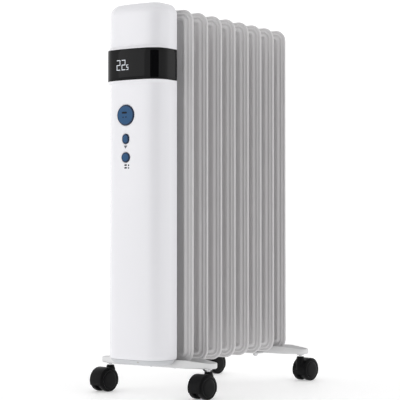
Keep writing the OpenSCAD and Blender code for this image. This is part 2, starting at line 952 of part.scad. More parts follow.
// The front housing, with the bezel, the wall behind the window and the screw posts
module tower_front() {
    bezel_low_z = window_low_z - bezel_h;
    bezel_top_z = window_top_z + bezel_h;
    color(tower_white)
        at_tower()
            difference() {
                union() {
                    difference() {
                        tower_solid(0, 0);
                        tower_solid(wall, 2);
                        slab(tower_base_z - 5, base_joint_z);
                        slab(bezel_low_z, bezel_top_z);
                    }
                    bezel_wall(bezel_setback, bezel_low_z, window_low_z - fit_gap);
                    bezel_wall(bezel_setback, window_top_z + fit_gap, bezel_top_z);
                    bezel_wall(subwall_inset, window_low_z - 1, window_top_z + 1);
                    screw_posts(post_r, -post_front, -back_t);
                    intersection() {
                        control_posts(board_post_r, -tower_depth, -control_board_y - board_t);
                        tower_solid(wall / 2, 0);
                    }
                    display_posts(display_post_r, -led_front + 0.2, -display_board_y - board_t);
                }
                screw_posts(post_hole_r, -post_front + 6, 0);
                control_posts(0.9, -control_board_y - board_t - 4, 0);
                translate([control_x, 0, main_button_z])
                    y_rod(main_button_r + button_gap, -tower_depth - 2, -tower_depth + 8);
                translate([control_x, 0, net_button_z])
                    y_prism(-tower_depth - 2, -tower_depth + 8)
                        oval(net_button_r + button_gap, net_button_h + 2 * button_gap);
                translate([control_x, 0, mode_button_z])
                    y_rod(mode_button_r + button_gap, -tower_depth - 2, -tower_depth + 8);
                translate([control_x, 0, window_mid_z])
                    y_prism(-window_front + window_wall / 2, -tower_depth + 12)
                        square([led_w + 4, led_h + 2], center = true);
            }
}

// Short posts that carry the control board
module control_posts(r, y0, y1) {
    for (sx = [-1, 1])
        for (z = [control_board_low_z + 4, control_board_low_z + control_board_h - 4])
            translate([control_x + sx * (control_board_w / 2 - 4), 0, z])
                y_rod(r, y0, y1);
}

// Posts beside the digits that carry the display's board
module display_posts(r, y0, y1) {
    for (sx = [-1, 1])
        translate([control_x + sx * (led_w / 2 + display_margin - 3), 0, window_mid_z])
            y_rod(r, y0, y1);
}

// The base cap that closes the tower below, with a lip that reaches up inside the front
// housing, and a small port for the room sensor
module tower_base() {
    lip_inset = wall + fit_gap / 2;
    color(base_grey)
        difference() {
            at_tower()
                difference() {
                    union() {
                        difference() {
                            tower_solid(base_setback, 0);
                            slab(base_joint_z - base_joint_gap, tower_top_z + 5);
                        }
                        difference() {
                            tower_solid(lip_inset, 0);
                            slab(tower_base_z - 5, base_joint_z - base_joint_gap - 1);
                            slab(base_joint_z + base_lip_h, tower_top_z + 5);
                            translate([-half_w, -back_t - fit_gap, tower_base_z])
                                cube([tower_w, tower_depth, tower_h]);
                        }
                    }
                    tower_solid(base_inner, 2);
                    translate([port_x, 0, port_z])
                        y_rod(port_r + 0.1, -tower_depth - 1, -tower_depth + 12);
                }
            translate([gland_x, gland_y, tower_base_z - 1])
                cylinder(r = gland_r + 0.05, h = 10);
        }
}

// The plate that closes the tower behind, with posts for the power board
module tower_back() {
    inset = wall + fit_gap;
    low_z = base_floor_z + 2 * fit_gap;
    top_z = tower_top_z - inset;
    color(base_grey)
        at_tower()
            difference() {
                union() {
                    y_prism(-back_t, 0)
                        translate([0, (low_z + top_z) / 2])
                            intersection() {
                                round_rect(tower_w - 2 * inset, top_z - low_z, top_edge_r - inset);
                                square([tower_w, tower_h], center = true);
                            }
                    power_posts(3.5, -power_board_y, -back_t + eps);
                }
                power_posts(1.1, -power_board_y - 1, -back_t - 1);
                screw_posts(screw_hole_r, -back_t - 1, 1);
                translate([0, 0, header_low_z])
                    y_rod(element_port_r, -back_t - 1, 1);
                for (sx = [-1, 1], z = bracket_heights)
                    translate([sx * bracket_screw_x, 0, z])
                        y_rod(screw_hole_r, -back_t - 1, 1);
                for (sx = [-1, 1])
                    translate([sx * half_w, 0, window_mid_z])
                        cube([2 * (bezel_inner + fit_gap), 4 * back_t,
                              window_h + 2 * (bezel_h + fit_gap)], center = true);
            }
}

module power_posts(r, y0, y1) {
    for (sx = [-1, 1])
        for (z = [power_board_low_z + 6, power_board_low_z + power_board_h - 6])
            translate([sx * (power_board_w / 2 - 4.5), 0, z])
                y_rod(r, y0, y1);
}

// Two bent steel brackets, welded on the first fin, that carry the tower
module tower_brackets() {
    depth = tower_gap - sheet_t;
    color(steel_bright)
        for (z = bracket_heights)
            translate([0, tower_y, z - bracket_h / 2])
                difference() {
                    union() {
                        translate([-bracket_w / 2, 0, 0])
                            cube([bracket_w, bracket_t, bracket_h]);
                        for (sx = [-1, 1]) {
                            translate([sx * (bracket_w - bracket_t) / 2 - bracket_t / 2, 0, 0])
                                cube([bracket_t, depth, bracket_h]);
                            translate([sx * (bracket_w / 2 + bracket_foot / 2 - eps) - bracket_foot / 2,
                                       depth - bracket_t, 0])
                                cube([bracket_foot, bracket_t, bracket_h]);
                        }
                    }
                    for (sx = [-1, 1])
                        translate([sx * bracket_screw_x, 0, bracket_h / 2])
                            y_rod(1.6, -1, bracket_t + 1);
                }
}

// Screws: six through the back plate into the posts, and four into the brackets
module tower_screws() {
    color(steel_bright)
        at_tower() {
            screw_posts(post_hole_r, -16, eps);
            screw_posts(screw_head_r, 0, screw_head_h);
            for (sx = [-1, 1], z = bracket_heights)
                translate([sx * bracket_screw_x, 0, z]) {
                    y_rod(1.5, -back_t - eps, bracket_t + 3);
                    y_rod(screw_head_r, -back_t - screw_head_h, -back_t);
                }
        }
}

// ---------------------------------------------------------------- display and controls

// The dark window that wraps round the tower's front and sides
module display_window() {
    color([0.05, 0.05, 0.06])
        at_tower()
            translate([0, 0, window_low_z])
                linear_extrude(height = window_h)
                    difference() {
                        tower_plan(window_front, window_corner, 0);
                        tower_plan(window_front, window_corner, window_wall);
                        translate([-half_w + window_wall, -2])
                            square([2 * (half_w - window_wall), 4]);
                    }
}

// The board behind the window, with its block of light-emitting digits
module display_board() {
    color(board_green)
        at_tower()
            translate([control_x, 0, window_mid_z]) {
                translate([-led_w / 2 - display_margin, -display_board_y - board_t,
                           -window_h / 2 + 6])
                    cube([led_w + 2 * display_margin, board_t, window_h - 12]);
                translate([-led_w / 2, -led_front, -led_h / 2])
                    cube([led_w, led_front - display_board_y - board_t + eps, led_h]);
            }
}

// The lit bars of a seven-segment figure. lit lists the bars that show, in the order
// top, upper left, upper right, middle, lower left, lower right, bottom.
module figure(w, h, bar, lit) {
    half = h / 2;
    skip = 0.35;
    flat = [w - bar, bar - skip];
    tall = [bar - skip, half - bar / 2 - skip];
    spots = [
        [flat, [w / 2, h - bar / 2]],
        [tall, [bar / 2, half + half / 2]],
        [tall, [w - bar / 2, half + half / 2]],
        [flat, [w / 2, half]],
        [tall, [bar / 2, half / 2]],
        [tall, [w - bar / 2, half / 2]],
        [flat, [w / 2, bar / 2]],
    ];
    for (i = [0:6])
        if (lit[i])
            translate(spots[i][1])
                square(spots[i][0], center = true);
}

// Two large figures and a small one that read 22.5
module display_digits() {
    two = [true, false, true, true, true, false, true];
    five = [true, true, false, true, false, true, true];
    small = 0.55;
    pitch = digit_w + digit_gap;
    left = control_x - led_w / 2 + 0.2;
    color("white")
        at_tower()
            translate([0, 0, window_mid_z - 0.6])
                y_prism(-led_front - 0.3, -led_front) {
                    translate([left, -digit_h / 2])
                        figure(digit_w, digit_h, digit_bar, two);
                    translate([left + pitch, -digit_h / 2])
                        figure(digit_w, digit_h, digit_bar, two);
                    translate([left + 2 * pitch, -digit_h / 2])
                        figure(digit_w * small, digit_h * small, digit_bar * 0.7, five);
                }
}

button_face = tower_depth + button_proud;
button_back = tower_depth - wall - bow_drop(abs(control_x) + main_button_r + 1.2) - 0.34;
stem_end = control_board_y + board_t + switch_h + plunger_h + button_travel + 0.1;

// The flange and stem behind a button's cap
module button_back_parts(flange_r) {
    y_rod(flange_r, -button_back - eps, -button_back + 1.2);
    y_rod(2.2, -button_back + 1.1, -stem_end);
}

module main_button() {
    color(button_blue)
        at_tower()
            translate([control_x, 0, main_button_z]) {
                y_rod(main_button_r, -button_face, -button_back);
                button_back_parts(main_button_r + 1.2);
            }
}

module net_button() {
    color(button_blue)
        at_tower()
            translate([control_x, 0, net_button_z]) {
                y_prism(-button_face, -button_back)
                    oval(net_button_r, net_button_h);
                button_back_parts(net_button_h / 2 + 1);
            }
}

module mode_button() {
    color(button_blue)
        at_tower()
            translate([control_x, 0, mode_button_z]) {
                y_rod(mode_button_r, -button_face, -button_back);
                button_back_parts(mode_button_r + 1.2);
            }
}

// The board behind the buttons
module control_board() {
    color(board_green)
        at_tower()
            difference() {
                translate([control_x - control_board_w / 2, -control_board_y - board_t,
                           control_board_low_z])
                    cube([control_board_w, board_t, control_board_h]);
                control_posts(1.2, -control_board_y - board_t - 1, 0);
            }
}

// One push switch under each button
module tact_switches() {
    color(plastic_black)
        at_tower()
            for (z = [main_button_z, net_button_z, mode_button_z])
                translate([control_x, -control_board_y - board_t, z]) {
                    translate([-3, -switch_h, -3])
                        cube([6, switch_h, 6]);
                    y_rod(1.7, -switch_h - plunger_h, -switch_h + eps);
                }
}

// ---------------------------------------------------------------- power electronics

// Puts children on the front of the power board, at a height above its lower edge
module on_power_board(x, z) {
    at_tower()
        translate([x, -power_board_y - board_t, power_board_low_z + z])
            children();
}

module power_board() {
    color(board_green)
        at_tower()
            difference() {
                translate([-power_board_w / 2, -power_board_y - board_t, power_board_low_z])
                    cube([power_board_w, board_t, power_board_h]);
                power_posts(1.4, -power_board_y - board_t - 1, 0);
            }
}

module relays() {
    color([0.15, 0.3, 0.6])
        for (sx = [-1, 1])
            on_power_board(sx * 14 - 10, 62)
                translate([0, -16, 0])
                    cube([20, 16, 29]);
}

module terminal_block() {
    block_w = 44;
    block_h = 14;
    color([0.9, 0.9, 0.86])
        on_power_board(-block_w / 2, block_rise)
            difference() {
                translate([0, -12, 0])
                    cube([block_w, 12, block_h]);
                for (i = [0:3])
                    translate([5.5 + 11 * i, 0, block_h / 2])
                        y_rod(2, -14, -5);
            }
}

// A ball switch that cuts the heat when the heater falls over
module tilt_switch() {
    color(plastic_black)
        on_power_board(-8, 130)
            translate([0, -14, 0])
                difference() {
                    cube([16, 14, 18]);
                    translate([8, -1, 9])
                        y_rod(5, 0, 4);
                }
}

// The sensor that reads the room's temperature through the port in the base cap
module room_sensor() {
    color(steel_bright)
        at_tower()
            translate([port_x, 0, port_z]) {
                y_rod(port_r, -tower_depth + 3.4, -tower_depth + 15);
                y_rod(2.2, -tower_depth + 14.9, -tower_depth + 22);
            }
}

// The bush in the base cap where the mains lead comes in
module cable_gland() {
    color(plastic_black)
        translate([gland_x, gland_y, tower_base_z + gland_recess])
            difference() {
                union() {
                    cylinder(r = gland_r, h = gland_len);
                    translate([0, 0, base_floor_z - tower_base_z - gland_recess])
                        cylinder(r = gland_flange_r, h = gland_flange_t);
                }
                translate([0, 0, -1])
                    cylinder(r = gland_bore_r, h = gland_len + 2);
            }
}

// ---------------------------------------------------------------- nodes

fin(1);  // fin_1
fin(2);  // fin_2
fin(3);  // fin_3
fin(4);  // fin_4
fin(5);  // fin_5
fin(6);  // fin_6
fin(7);  // fin_7
fin(8);  // fin_8
header_necks(header_low_z);  // lower_necks
header_necks(header_high_z);  // upper_necks
header_caps();
oil_filler_plug();
heating_elements();
element_flange();
element_gasket();
terminal_beads();
element_leads();
thermal_cutout();
cutout_clip();
front_foot();
rear_foot();
u_bolts();
u_bolt_nuts();
castor_stems();
stem_nuts();
hood(-1, -1);  // hood_front_left
hood(1, -1);  // hood_front_right
hood(-1, 1);  // hood_rear_left
hood(1, 1);  // hood_rear_right
castor_axle(-1, -1);  // axle_front_left
castor_axle(1, -1);  // axle_front_right
castor_axle(-1, 1);  // axle_rear_left
castor_axle(1, 1);  // axle_rear_right
wheel(-1, -1, 1);  // wheel_front_left_outer
wheel(-1, -1, -1);  // wheel_front_left_inner
wheel(1, -1, 1);  // wheel_front_right_outer
wheel(1, -1, -1);  // wheel_front_right_inner
wheel(-1, 1, 1);  // wheel_rear_left_outer
wheel(-1, 1, -1);  // wheel_rear_left_inner
wheel(1, 1, 1);  // wheel_rear_right_outer
wheel(1, 1, -1);  // wheel_rear_right_inner
tower_front();
tower_base();
tower_back();
tower_brackets();
tower_screws();
display_window();
display_board();
display_digits();
main_button();
net_button();
mode_button();
control_board();
tact_switches();
power_board();
relays();
terminal_block();
tilt_switch();
room_sensor();
cable_gland();
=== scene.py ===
"""The looks of an oil filled radiator heater, built round its CAD frame.

Shapes are worked out in millimetres, and every mesh is scaled to metres when it is made.
"""

import json
from math import acos, atan2, cos, pi, radians, sin, sqrt

import bmesh
import bpy
from mathutils import Matrix, Vector


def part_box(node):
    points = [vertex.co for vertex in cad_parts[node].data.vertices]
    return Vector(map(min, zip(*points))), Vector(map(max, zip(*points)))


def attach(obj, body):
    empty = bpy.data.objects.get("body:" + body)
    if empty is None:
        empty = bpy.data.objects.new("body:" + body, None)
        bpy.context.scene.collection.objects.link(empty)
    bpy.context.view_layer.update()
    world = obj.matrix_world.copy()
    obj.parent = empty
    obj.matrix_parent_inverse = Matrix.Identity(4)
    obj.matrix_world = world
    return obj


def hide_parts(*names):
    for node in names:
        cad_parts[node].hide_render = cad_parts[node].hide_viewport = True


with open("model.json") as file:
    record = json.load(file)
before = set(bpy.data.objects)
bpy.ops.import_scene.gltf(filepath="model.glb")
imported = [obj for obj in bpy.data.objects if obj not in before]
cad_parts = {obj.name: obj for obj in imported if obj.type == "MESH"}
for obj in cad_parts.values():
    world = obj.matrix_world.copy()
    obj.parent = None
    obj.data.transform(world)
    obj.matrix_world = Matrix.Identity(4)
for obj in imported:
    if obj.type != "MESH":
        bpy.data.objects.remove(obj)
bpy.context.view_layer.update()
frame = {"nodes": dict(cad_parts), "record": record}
MM = 0.001


# ------------------------------------------------------------------ places from the frame


def box_mm(node):
    low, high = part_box(node)
    return low / MM, high / MM


def middle_mm(node):
    low, high = box_mm(node)
    return (low + high) / 2


fin_low, fin_high = box_mm("fin_2")
fin_w = fin_high.x - fin_low.x
fin_h = fin_high.z - fin_low.z
fin_mid_z = (fin_low.z + fin_high.z) / 2
fin_pitch = middle_mm("fin_3").y - middle_mm("fin_2").y
fin_count = 8
first_fin_y = middle_mm("fin_2").y - fin_pitch
last_fin_y = first_fin_y + (fin_count - 1) * fin_pitch
header_low_z = middle_mm("element_flange").z
header_high_z = 2 * fin_mid_z - header_low_z

tower_low, tower_high = box_mm("tower_front")
window_low, window_high = box_mm("display_window")
half_w = tower_high.x
tower_back_y = box_mm("tower_back")[1].y
tower_top_z = tower_high.z
tower_base_z = box_mm("tower_base")[0].z
joint_z = tower_low.z
window_front_y = window_low.y


# ------------------------------------------------------------------ mesh helpers


def piece(name, bm, body, material, replaces=(), sharp=35):
    """Turns a bmesh in millimetres into a smooth shaded piece that rides on a body."""
    bmesh.ops.remove_doubles(bm, verts=bm.verts, dist=1e-4)
    bmesh.ops.recalc_face_normals(bm, faces=bm.faces)
    mesh = bpy.data.meshes.new(name)
    bm.to_mesh(mesh)
    bm.free()
    mesh.transform(Matrix.Scale(MM, 4))
    obj = bpy.data.objects.new(name, mesh)
    bpy.context.scene.collection.objects.link(obj)
    mesh.shade_smooth()
    mesh.set_sharp_from_angle(angle=radians(sharp))
    mesh.materials.append(material)
    if body:
        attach(obj, body)
    if replaces:
        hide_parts(*replaces)
    return obj


def skin(bm, rings, cap=True):
    """Joins rings of points, each with as many points, and closes both ends."""
    made = [[bm.verts.new(p) for p in ring] for ring in rings]
    for lower, upper in zip(made, made[1:]):
        count = len(lower)
        for i in range(count):
            j = (i + 1) % count
            bm.faces.new((lower[i], lower[j], upper[j], upper[i]))
    if cap:
        bm.faces.new(made[0][::-1])
        bm.faces.new(made[-1])
    return bm


def turned(profile, steps=64, axis="Y", at=(0, 0, 0), turn=0.0):
    """A body turned round an axis from a profile of (radius, distance along the axis)."""
    bm = bmesh.new()
    add_turned(bm, profile, steps, axis, at, turn)
    return bm


def add_turned(bm, profile, steps=64, axis="Y", at=(0, 0, 0), turn=0.0):
    """Spins a profile round an axis, and closes both of its ends on the axis."""
    move = Matrix.Translation(at) @ Matrix.Rotation(turn, 4, "Z")
    along = {"X": Vector((1, 0, 0)), "Y": Vector((0, 1, 0)), "Z": Vector((0, 0, 1))}[axis]
    out = Vector((0, 1, 0)) if axis == "X" else Vector((1, 0, 0))
    closed = [(0, profile[0][1]), *profile, (0, profile[-1][1])]
    line = [bm.verts.new(move @ (out * radius + along * reach)) for radius, reach in closed]
    edges = [bm.edges.new(pair) for pair in zip(line, line[1:])]
    bmesh.ops.spin(bm, geom=line + edges, cent=at, axis=move.to_3x3() @ along, dvec=(0, 0, 0),
                   angle=2 * pi, steps=steps, use_merge=True, use_duplicate=False)
    bmesh.ops.remove_doubles(bm, verts=bm.verts, dist=1e-5)


def block(bm, low, high, turn=0.0, at=(0, 0, 0)):
    """A box between two corners, added to a bmesh."""
    low, high = Vector(low), Vector(high)
    move = Matrix.Translation(at) @ Matrix.Rotation(turn, 4, "Z")
    move = move @ Matrix.Translation((low + high) / 2) @ Matrix.Diagonal((*(high - low), 1))
    bmesh.ops.create_cube(bm, size=1, matrix=move)
    return bm


def evaluated(obj):
    """Applies an object's modifiers to its own mesh."""
    graph = bpy.context.evaluated_depsgraph_get()
    graph.update()
    mesh = bpy.data.meshes.new_from_object(obj.evaluated_get(graph))
    obj.modifiers.clear()
    obj.data = mesh


def span(mesh):
    """Lowest and highest corner of a mesh."""
    low = Vector(min(v.co[i] for v in mesh.vertices) for i in range(3))
    high = Vector(max(v.co[i] for v in mesh.vertices) for i in range(3))
    return low, high


cut_tries = 5
cut_slack = 0.1 * MM


def boolean(obj, bm, operation="DIFFERENCE"):
    """Cuts or joins a bmesh in millimetres, and removes the tool.

    A result that reaches outside the shapes it was made from is made again with the tool moved
    by a hair.
    """
    bmesh.ops.recalc_face_normals(bm, faces=bm.faces)
    mesh = bpy.data.meshes.new("tool")
    bm.to_mesh(mesh)
    bm.free()
    mesh.transform(Matrix.Scale(MM, 4))
    tool = bpy.data.objects.new("tool", mesh)
    bpy.context.scene.collection.objects.link(tool)
    start = obj.data.copy()
    low, high = span(start)
    if operation == "UNION":
        tool_low, tool_high = span(mesh)
        low = Vector(min(a, b) for a, b in zip(low, tool_low))
        high = Vector(max(a, b) for a, b in zip(high, tool_high))
    for attempt in range(cut_tries):
        modifier = obj.modifiers.new("cut", "BOOLEAN")
        modifier.operation = operation
        modifier.solver = "EXACT"
        modifier.object = tool
        evaluated(obj)
        made_low, made_high = span(obj.data)
        if all(made_low[i] > low[i] - cut_slack and made_high[i] < high[i] + cut_slack
               for i in range(3)):
            break
        if attempt == cut_tries - 1:
            raise RuntimeError(f"{obj.name} could not be cut cleanly")
        obj.data = start.copy()
        mesh.transform(Matrix.Translation((0.011 * MM, 0.017 * MM, 0.013 * MM)))
    bpy.data.objects.remove(tool)


def soften(obj, width, segments=2, sharp=35):
    """Rounds every edge that is sharper than an angle."""
    modifier = obj.modifiers.new("round", "BEVEL")
    modifier.width = width * MM
    modifier.segments = segments
    modifier.limit_method = "ANGLE"
    modifier.angle_limit = radians(sharp)
    modifier.use_clamp_overlap = True
    evaluated(obj)
    obj.data.shade_smooth()
    obj.data.set_sharp_from_angle(angle=radians(60))


# ------------------------------------------------------------------ materials


def material(name, color, rough, grain=0.0, grain_size=1.0, metal=0.0, coat=0.0,
             mottle=0.03, rough_spread=0.05, brushed=None, glow=0.0, specular=0.5):
    """A surface with a fine bump, a slow change of shade and an uneven polish."""
    made = bpy.data.materials.new(name)
    made.use_nodes = True
    nodes, links = made.node_tree.nodes, made.node_tree.links
    shader = nodes["Principled BSDF"]
    shader.inputs["Metallic"].default_value = metal
    shader.inputs["Coat Weight"].default_value = coat
    shader.inputs["Coat Roughness"].default_value = 0.06
    shader.inputs["Specular IOR Level"].default_value = specular
    place = nodes.new("ShaderNodeTexCoord")

    slow = nodes.new("ShaderNodeTexNoise")
    slow.inputs["Scale"].default_value = 14
    slow.inputs["Detail"].default_value = 4
    links.new(place.outputs["Object"], slow.inputs["Vector"])
    shade = nodes.new("ShaderNodeMix")
    shade.data_type = "RGBA"
    shade.inputs["A"].default_value = [c * (1 - mottle) for c in color] + [1]
    shade.inputs["B"].default_value = [min(1, c * (1 + mottle)) for c in color] + [1]
    links.new(slow.outputs["Fac"], shade.inputs["Factor"])
    links.new(shade.outputs["Result"], shader.inputs["Base Color"])

    polish = nodes.new("ShaderNodeMapRange")
    polish.inputs["To Min"].default_value = max(0.02, rough - rough_spread)
    polish.inputs["To Max"].default_value = min(1, rough + rough_spread)
    links.new(polish.outputs["Result"], shader.inputs["Roughness"])

    fine = nodes.new("ShaderNodeTexNoise")
    fine.inputs["Scale"].default_value = 1 / (grain_size * MM)
    fine.inputs["Detail"].default_value = 3
    if brushed:
        stretch = nodes.new("ShaderNodeMapping")
        stretch.inputs["Scale"].default_value = brushed
        links.new(place.outputs["Object"], stretch.inputs["Vector"])
        links.new(stretch.outputs["Vector"], fine.inputs["Vector"])
    else:
        links.new(place.outputs["Object"], fine.inputs["Vector"])
    links.new((fine if brushed else slow).outputs["Fac"], polish.inputs["Value"])
    if grain:
        bump = nodes.new("ShaderNodeBump")
        bump.inputs["Strength"].default_value = 1
        bump.inputs["Distance"].default_value = grain * MM
        links.new(fine.outputs["Fac"], bump.inputs["Height"])
        links.new(bump.outputs["Normal"], shader.inputs["Normal"])
    if glow:
        shader.inputs["Emission Color"].default_value = (*color, 1)
        shader.inputs["Emission Strength"].default_value = glow
    return made


fin_paint = material("fin_paint", (0.705, 0.695, 0.7), 0.38, 0.05, 1.3, mottle=0.02)
foot_paint = material("foot_paint", (0.78, 0.78, 0.785), 0.4, 0.05, 1.2)
tower_white = material("tower_white", (0.872, 0.868, 0.9), 0.24, 0.006, 0.9, coat=0.15, mottle=0.008)
# Painted shade: the base cap is the housing's white plastic, given a darker grey that stands for the
# shade under its rounded lower edge.
base_grey = material("base_grey", (0.6, 0.61, 0.63), 0.4, 0.012, 0.8, mottle=0.015)
window_black = material("window_black", (0.003, 0.003, 0.0035), 0.04, 0.0008, 1.5,
                        rough_spread=0.015, specular=0.15)
digit_light = material("digit_light", (0.8, 0.84, 0.9), 0.4, 0.004, 0.6, glow=0.25)
button_blue = material("button_blue", (0.019, 0.086, 0.205), 0.3, 0.002, 0.7, specular=0.22)
button_rim = material("button_rim", (0.012, 0.03, 0.075), 0.25, 0.002, 0.7, specular=0.3)
icon_dark = material("icon_dark", (0.004, 0.008, 0.016), 0.5, 0.004, 0.4, specular=0.15)
icon_grey = material("icon_grey", (0.12, 0.125, 0.14), 0.4, 0.004, 0.4)
castor_black = material("castor_black", (0.004, 0.004, 0.0045), 0.4, 0.02, 0.6, mottle=0.12,
                        specular=0.1)
wheel_black = material("wheel_black", (0.0045, 0.0045, 0.005), 0.3, 0.008, 0.7, mottle=0.1,
                       specular=0.1)
bright_steel = material("bright_steel", (0.62, 0.62, 0.63), 0.26, 0.01, 0.5, metal=1,
                        brushed=(1, 1, 8), mottle=0.05)
element_steel = material("element_steel", (0.5, 0.49, 0.47), 0.34, 0.01, 0.5, metal=1,
                         brushed=(1, 6, 1), mottle=0.08)
flange_brass = material("flange_brass", (0.72, 0.5, 0.22), 0.3, 0.01, 0.5, metal=1)
seal_rubber = material("seal_rubber", (0.3, 0.08, 0.06), 0.7, 0.03, 0.5)
ceramic = material("ceramic", (0.78, 0.75, 0.66), 0.55, 0.02, 0.4)
lead_sleeve = material("lead_sleeve", (0.6, 0.55, 0.45), 0.8, 0.1, 0.35, brushed=(3, 3, 1))
black_plastic = material("black_plastic", (0.025, 0.025, 0.026), 0.45, 0.02, 0.6)
relay_blue = material("relay_blue", (0.05, 0.12, 0.35), 0.4, 0.01, 0.6)
board_green = material("board_green", (0.02, 0.14, 0.06), 0.35, 0.03, 1.2, mottle=0.15)

slot_materials = {
    "fin_paint": fin_paint,
    "foot_paint": foot_paint,
    "tower_plastic": tower_white,
    "base_plastic": base_grey,
    "window_plastic": window_black,
    "digit_light": digit_light,
    "button_plastic": button_blue,
    "castor_plastic": castor_black,
    "wheel_plastic": wheel_black,
    "bright_steel": bright_steel,
    "element_steel": element_steel,
    "flange_brass": flange_brass,
    "seal_rubber": seal_rubber,
    "terminal_ceramic": ceramic,
    "lead_sleeve": lead_sleeve,
    "black_plastic": black_plastic,
    "relay_plastic": relay_blue,
    "circuit_board": board_green,
}
for row in frame["record"]["subparts"]:
    mesh = frame["nodes"][row["node"]].data
    mesh.materials.clear()
    mesh.materials.append(slot_materials[row["material_slot"]])


# ------------------------------------------------------------------ fins

fin_corner_r = 20.5
header_reach = fin_pitch / 2
end_reach = 11
collar_r = 21
collar_len = 3
dome_foot_r = 53
# Inset from the edge, and half thickness there: hem, bead, oil channel and flat panel
fin_profile = [
    (0, 0), (0.2, 0.9), (0.8, 1.6), (1.6, 1.95), (2.5, 2), (3.3, 1.75), (4.1, 1.45),
    (4.8, 1.35), (5.5, 1.6), (6.2, 2.2), (6.8, 2.65), (7.4, 2.8), (8, 2.65), (8.7, 2.25),
    (9.4, 1.8), (10.1, 1.6), (10.9, 1.75), (11.6, 2.3), (12.4, 3.2), (13.2, 4),
    (14.1, 4.55), (15.1, 4.7), (16, 4.5), (16.9, 3.9), (17.7, 2.9), (18.5, 1.9), (19.4, 1.2),
    (20.6, 0.95), (22, 0.9),
]


def fin_ring(inset, y):
    """A round-cornered rectangle in the plane of a fin."""
    radius = max(fin_corner_r - inset, 4)
    points = []
    corner_steps = 10
    side_steps = 4
    for quarter in range(4):
        sx = (1, -1, -1, 1)[quarter]
        sz = (1, 1, -1, -1)[quarter]
        cx = sx * (fin_w / 2 - inset - radius)
        cz = sz * (fin_h / 2 - inset - radius)
        start = quarter * pi / 2
        for i in range(corner_steps + 1):
            a = start + i * pi / 2 / corner_steps
            points.append(Vector((cx + radius * cos(a), y, fin_mid_z + cz + radius * sin(a))))
        ahead = [(-1, 1), (-1, -1), (1, -1), (1, 1)][quarter]
        nx = ahead[0] * (fin_w / 2 - inset - radius)
        nz = ahead[1] * (fin_h / 2 - inset - radius)
        a = start + pi / 2
        goal = Vector((nx + radius * cos(a), y, fin_mid_z + nz + radius * sin(a)))
        for i in range(1, side_steps):
            points.append(points[-1].lerp(goal, 1 / (side_steps - i + 1)))
    return points


def dome_profile(reach):
    """Radius and height of a header's dome, from its foot to its welded collar."""
    rise = reach - collar_len - 1
    steps = 14
    points = [(dome_foot_r, -1), (dome_foot_r, 0.6)]
    for i in range(1, steps + 1):
        t = i / steps
        points.append((dome_foot_r + (collar_r - dome_foot_r) * t,
                       0.6 + (rise - 0.6) * (0.35 * t + 0.65 * t ** 2.2)))
    points += [(collar_r, rise + 0.5), (collar_r, reach - 0.9), (collar_r - 0.5, reach - 0.2),
               (collar_r - 1.2, reach), (collar_r - 4, reach)]
    return points


def fin_piece(index):
    y = first_fin_y + (index - 1) * fin_pitch
    bm = bmesh.new()
    front = [fin_ring(inset, y - half) for inset, half in reversed(fin_profile)]
    back = [fin_ring(inset, y + half) for inset, half in fin_profile[1:]]
    skin(bm, front + back)
    return piece(f"fin_{index}_pressed", bm, "heater", fin_paint, [f"fin_{index}"])


def necks_piece(name, z, node):
    """A header: the flared necks that join the fins, welded in pairs."""
    bm = bmesh.new()
    for index in range(1, fin_count + 1):
        y = first_fin_y + (index - 1) * fin_pitch
        for side in (-1, 1):
            outer = (index == 1 and side < 0) or (index == fin_count and side > 0)
            reach = end_reach if outer else header_reach - 0.01
            add_turned(bm, [(r, side * h) for r, h in dome_profile(reach)], 72, "Y", (0, y, z))
    return piece(name, bm, "heater", fin_paint, [node])


for number in range(1, fin_count + 1):
    fin_piece(number)
necks_piece("lower_header", header_low_z, "lower_necks")
necks_piece("upper_header", header_high_z, "upper_necks")


# ------------------------------------------------------------------ header ends


def cap_profile(radius, thick):
    """A stamped disc with a shallow dish."""
    return [(radius, 0), (radius, thick * 0.6), (radius - 0.5, thick), (radius - 2.5, thick + 0.35),
            (radius * 0.62, thick + 0.5), (radius * 0.5, thick + 0.1), (0, thick)]


caps = bmesh.new()
for y, z, side in ((first_fin_y - end_reach, header_high_z, -1),
                   (last_fin_y + end_reach, header_low_z, 1),
                   (last_fin_y + end_reach, header_high_z, 1)):
    add_turned(caps, [(r, side * h) for r, h in cap_profile(collar_r - 1.2, 1.2)], 64, "Y", (0, y, z))
piece("header_discs", caps, "heater", fin_paint, ["header_caps"])


# ------------------------------------------------------------------ tower shapes

tower_front_y = tower_back_y - 50.1
tower_corner_r = 31
window_corner_r = 28
tower_bow = 7.7
top_edge_r = 20
bottom_edge_r = 16
wall = 2.2
bow_r = (half_w ** 2 + tower_bow ** 2) / (2 * tower_bow)
bezel_reach = 5.5


def plan(front_y, corner, inset, back_y, side_steps=3, corner_steps=16, bow_steps=20):
    """Outline of the tower seen from above: straight sides, round corners, bowed front."""
    corner_x = half_w - corner
    bow_y = front_y + bow_r
    corner_y = bow_y - sqrt((bow_r - corner) ** 2 - corner_x ** 2)
    meet = atan2(corner_y - bow_y, corner_x)
    half = half_w - inset
    right = [(half, back_y + (corner_y - back_y) * i / side_steps) for i in range(side_steps)]
    for i in range(corner_steps + 1):
        a = meet * i / corner_steps
        right.append((corner_x + (corner - inset) * cos(a), corner_y + (corner - inset) * sin(a)))
    for i in range(1, bow_steps // 2 + 1):
        a = meet + (-pi / 2 - meet) * i / (bow_steps // 2)
        right.append(((bow_r - inset) * cos(a), bow_y + (bow_r - inset) * sin(a)))
    left = [(-x, y) for x, y in right[-2::-1]]
    back = [(half * (2 * i / 6 - 1), back_y) for i in range(1, 6)]
    return right + left + back


